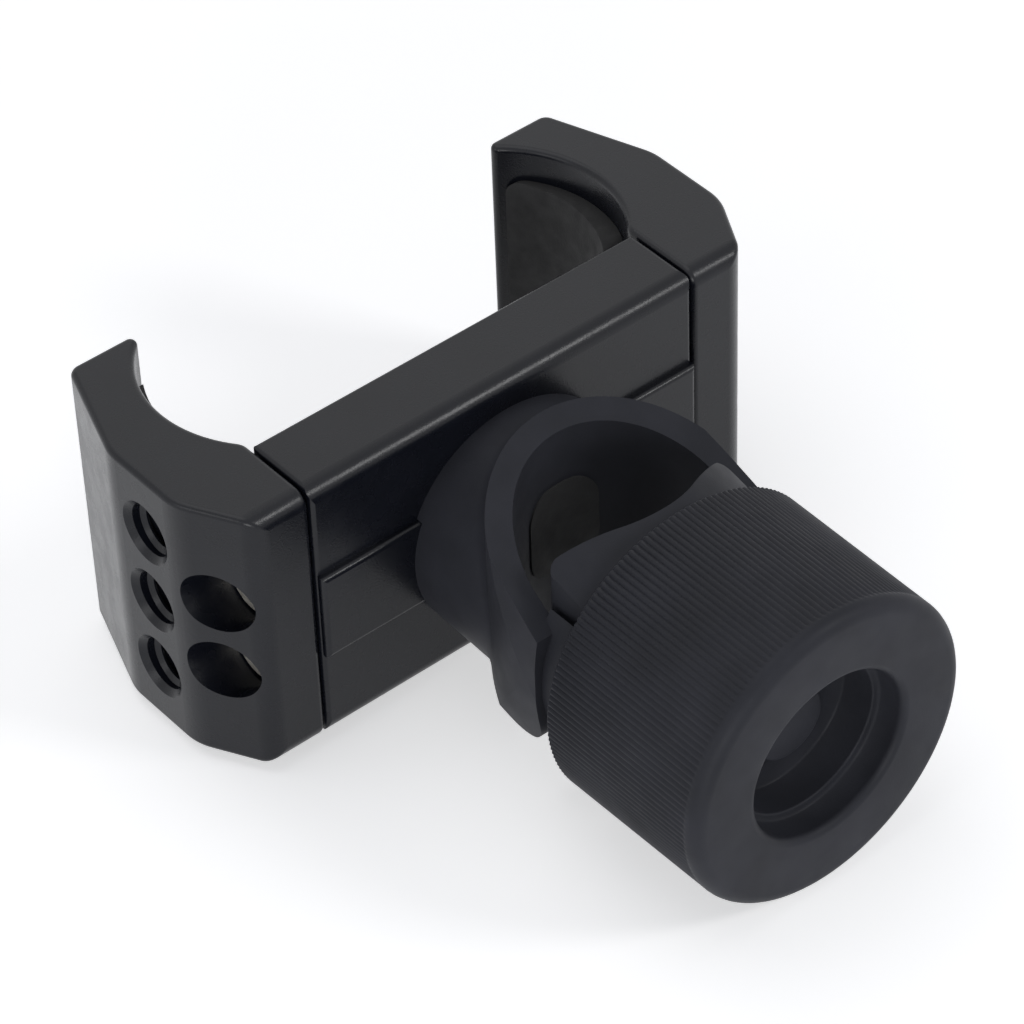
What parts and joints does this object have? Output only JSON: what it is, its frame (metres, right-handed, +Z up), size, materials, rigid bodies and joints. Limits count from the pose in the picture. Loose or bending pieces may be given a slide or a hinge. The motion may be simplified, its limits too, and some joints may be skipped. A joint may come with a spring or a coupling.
{
  "type": "power bank clamp mount",
  "caption": "Spring-loaded two-jaw holder for a power bank, with a round pole clamp tightened by a large ribbed knob.",
  "frame": {"origin": "centre of the housing's front face, on the knob's axis", "axes": "+X along the housing to the right jaw, +Y back towards the jaw tips, +Z up along the pole"},
  "size_m": [0.0766, 0.0847, 0.0378],
  "materials": {
    "black_anodised": "black anodised, satin",
    "black_moulded": "fine moulded grain",
    "black_rubber": "matt",
    "steel": "turned, bright",
    "bronze": "sintered"
  },
  "bodies": {
    "mount": {"housing": "black_anodised", "rod_bushes": "bronze", "return_springs": "steel", "jaw_right": "black_anodised", "jaw_right_screws": "steel", "jaw_right_pad": "black_rubber", "clamp_body": "black_moulded", "ring_pad": "black_rubber", "mounting_screws": "steel"},
    "sliding_jaw": {"jaw_left": "black_anodised", "jaw_left_screws": "steel", "jaw_left_pad": "black_rubber", "guide_rods": "steel", "stop_washers": "steel", "stop_screws": "steel"},
    "pressure_saddle": {"saddle": "black_moulded", "thrust_washer": "steel", "keeper_washer": "steel"},
    "clamp_knob": {"knob": "black_moulded", "keeper_screw": "steel"}
  },
  "joints": [
    {"name": "jaw_slide", "type": "slide", "parent": "mount", "child": "sliding_jaw", "axis": [-1, 0, 0], "range_m": [0, 0.028], "stiffness_N_per_m": 250, "springref_m": -0.03, "deforming": ["return_springs"]},
    {"name": "saddle_slide", "type": "slide", "parent": "mount", "child": "pressure_saddle", "axis": [0, 1, 0], "range_m": [-0.0091, 0.0016]},
    {"name": "knob_turn", "type": "hinge", "parent": "pressure_saddle", "child": "clamp_knob", "pos_m": [0, 0, 0], "axis": [0, 1, 0], "range_deg": [-2160, 360]}
  ],
  "couplings": [
    {"joint": "saddle_slide", "follows": "knob_turn", "m_per_rad": 0.00023873}
  ]
}
